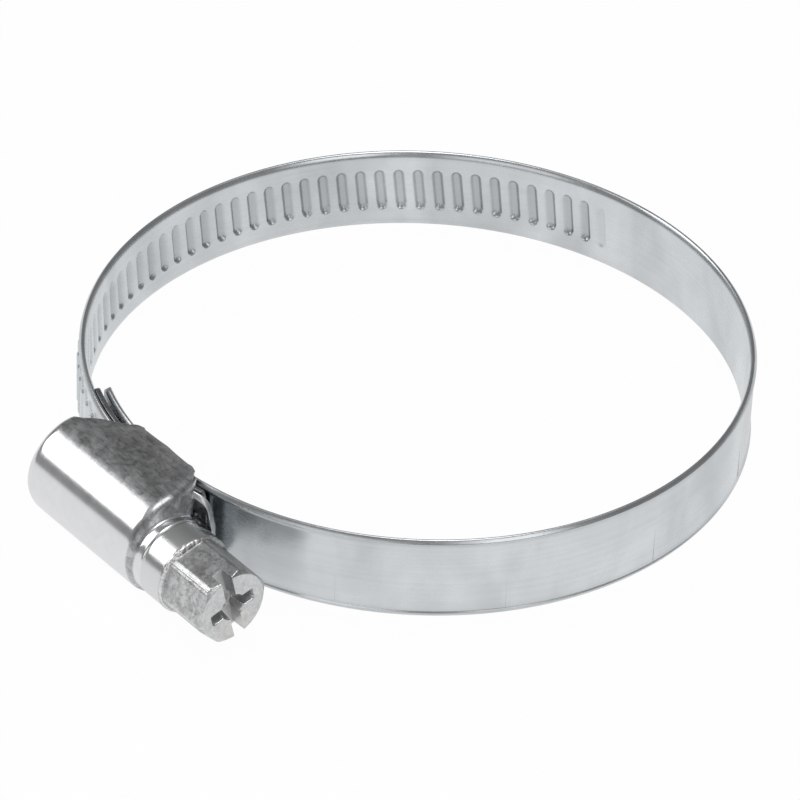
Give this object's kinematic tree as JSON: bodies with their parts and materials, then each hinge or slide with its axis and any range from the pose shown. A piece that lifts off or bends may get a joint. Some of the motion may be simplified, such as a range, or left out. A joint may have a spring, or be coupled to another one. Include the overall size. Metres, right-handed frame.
{
  "type": "hose clamp",
  "caption": "Worm drive hose clamp: a slotted steel band whose ribbed end is drawn through a small housing by a screw with a hexagon head.",
  "frame": {"origin": "on the axis of the ring, half way up the band", "axes": "+Z along the axis of the ring, the housing lies on -Y, and the screw runs along X with its head towards +X"},
  "size_m": [0.0647, 0.0724, 0.0108],
  "materials": {
    "housing_steel": "pressed sheet steel, zinc plated, lightly scratched",
    "saddle_steel": "zinc plated sheet steel",
    "screw_steel": "zinc plated steel, slightly mottled",
    "band_steel": "smooth zinc plated strip steel"
  },
  "bodies": {
    "housing": {"housing_shell": "housing_steel", "saddle_plate": "saddle_steel"},
    "screw": {"worm_screw": "screw_steel"},
    "threaded_end": {"band_thread_end": "band_steel"},
    "length_01": {"band_length_01": "band_steel"},
    "length_02": {"band_length_02": "band_steel"},
    "length_03": {"band_length_03": "band_steel"},
    "length_04": {"band_length_04": "band_steel"},
    "length_05": {"band_length_05": "band_steel"},
    "length_06": {"band_length_06": "band_steel"},
    "length_07": {"band_length_07": "band_steel"},
    "length_08": {"band_length_08": "band_steel"},
    "length_09": {"band_length_09": "band_steel"},
    "length_10": {"band_length_10": "band_steel"},
    "fixed_end": {"band_fixed_end": "band_steel"}
  },
  "joints": [
    {"name": "screw_turn", "type": "hinge", "parent": "housing", "child": "screw", "pos_m": [0, -0.03661, 0], "axis": [-1, 0, 0], "range_deg": [0, 2880]},
    {"name": "band_feed", "type": "hinge", "parent": "housing", "child": "threaded_end", "pos_m": [0, -0.00081, 0], "axis": [0, 0, 1], "range_deg": [0, 28.05]},
    {"name": "flex_01", "type": "hinge", "parent": "threaded_end", "child": "length_01", "pos_m": [-0.02611, -0.01953, 0], "axis": [0, 0, -1], "range_deg": [0, 4.85]},
    {"name": "flex_02", "type": "hinge", "parent": "length_01", "child": "length_02", "pos_m": [-0.03185, -0.00505, 0], "axis": [0, 0, -1], "range_deg": [0, 2.14]},
    {"name": "flex_03", "type": "hinge", "parent": "length_02", "child": "length_03", "pos_m": [-0.03011, 0.01042, 0], "axis": [0, 0, -1], "range_deg": [0, 0.4925]},
    {"name": "flex_04", "type": "hinge", "parent": "length_03", "child": "length_04", "pos_m": [-0.02129, 0.02326, 0], "axis": [0, 0, -1], "range_deg": [0, 0.9317]},
    {"name": "flex_05", "type": "hinge", "parent": "length_04", "child": "length_05", "pos_m": [-0.00747, 0.03044, 0], "axis": [0, 0, -1], "range_deg": [0, 2.69]},
    {"name": "flex_06", "type": "hinge", "parent": "length_05", "child": "length_06", "pos_m": [0.0081, 0.03026, 0], "axis": [0, 0, -1], "range_deg": [0, 3.82]},
    {"name": "flex_07", "type": "hinge", "parent": "length_06", "child": "length_07", "pos_m": [0.02166, 0.02263, 0], "axis": [0, 0, -1], "range_deg": [0, 3.07]},
    {"name": "flex_08", "type": "hinge", "parent": "length_07", "child": "length_08", "pos_m": [0.02988, 0.00941, 0], "axis": [0, 0, -1], "range_deg": [0, 1.37]},
    {"name": "flex_09", "type": "hinge", "parent": "length_08", "child": "length_09", "pos_m": [0.03072, -0.00614, 0], "axis": [0, 0, -1], "range_deg": [0, 0.6865]},
    {"name": "flex_10", "type": "hinge", "parent": "length_09", "child": "length_10", "pos_m": [0.02397, -0.02017, 0], "axis": [0, 0, -1], "range_deg": [0, 2.03]},
    {"name": "flex_11", "type": "hinge", "parent": "length_10", "child": "fixed_end", "pos_m": [0.0113, -0.02921, 0], "axis": [0, 0, -1], "range_deg": [0, 4.52]}
  ],
  "couplings": [
    {"joint": "band_feed", "follows": "screw_turn", "ratio": 0.0097401},
    {"joint": "flex_01", "follows": "screw_turn", "ratio": 0.001684},
    {"joint": "flex_02", "follows": "screw_turn", "ratio": 0.00074181},
    {"joint": "flex_03", "follows": "screw_turn", "ratio": 0.00017065},
    {"joint": "flex_04", "follows": "screw_turn", "ratio": 0.00032315},
    {"joint": "flex_05", "follows": "screw_turn", "ratio": 0.00093363},
    {"joint": "flex_06", "follows": "screw_turn", "ratio": 0.0013275},
    {"joint": "flex_07", "follows": "screw_turn", "ratio": 0.0010666},
    {"joint": "flex_08", "follows": "screw_turn", "ratio": 0.00047386},
    {"joint": "flex_09", "follows": "screw_turn", "ratio": 0.00023802},
    {"joint": "flex_10", "follows": "screw_turn", "ratio": 0.00070439},
    {"joint": "flex_11", "follows": "screw_turn", "ratio": 0.0015696}
  ]
}
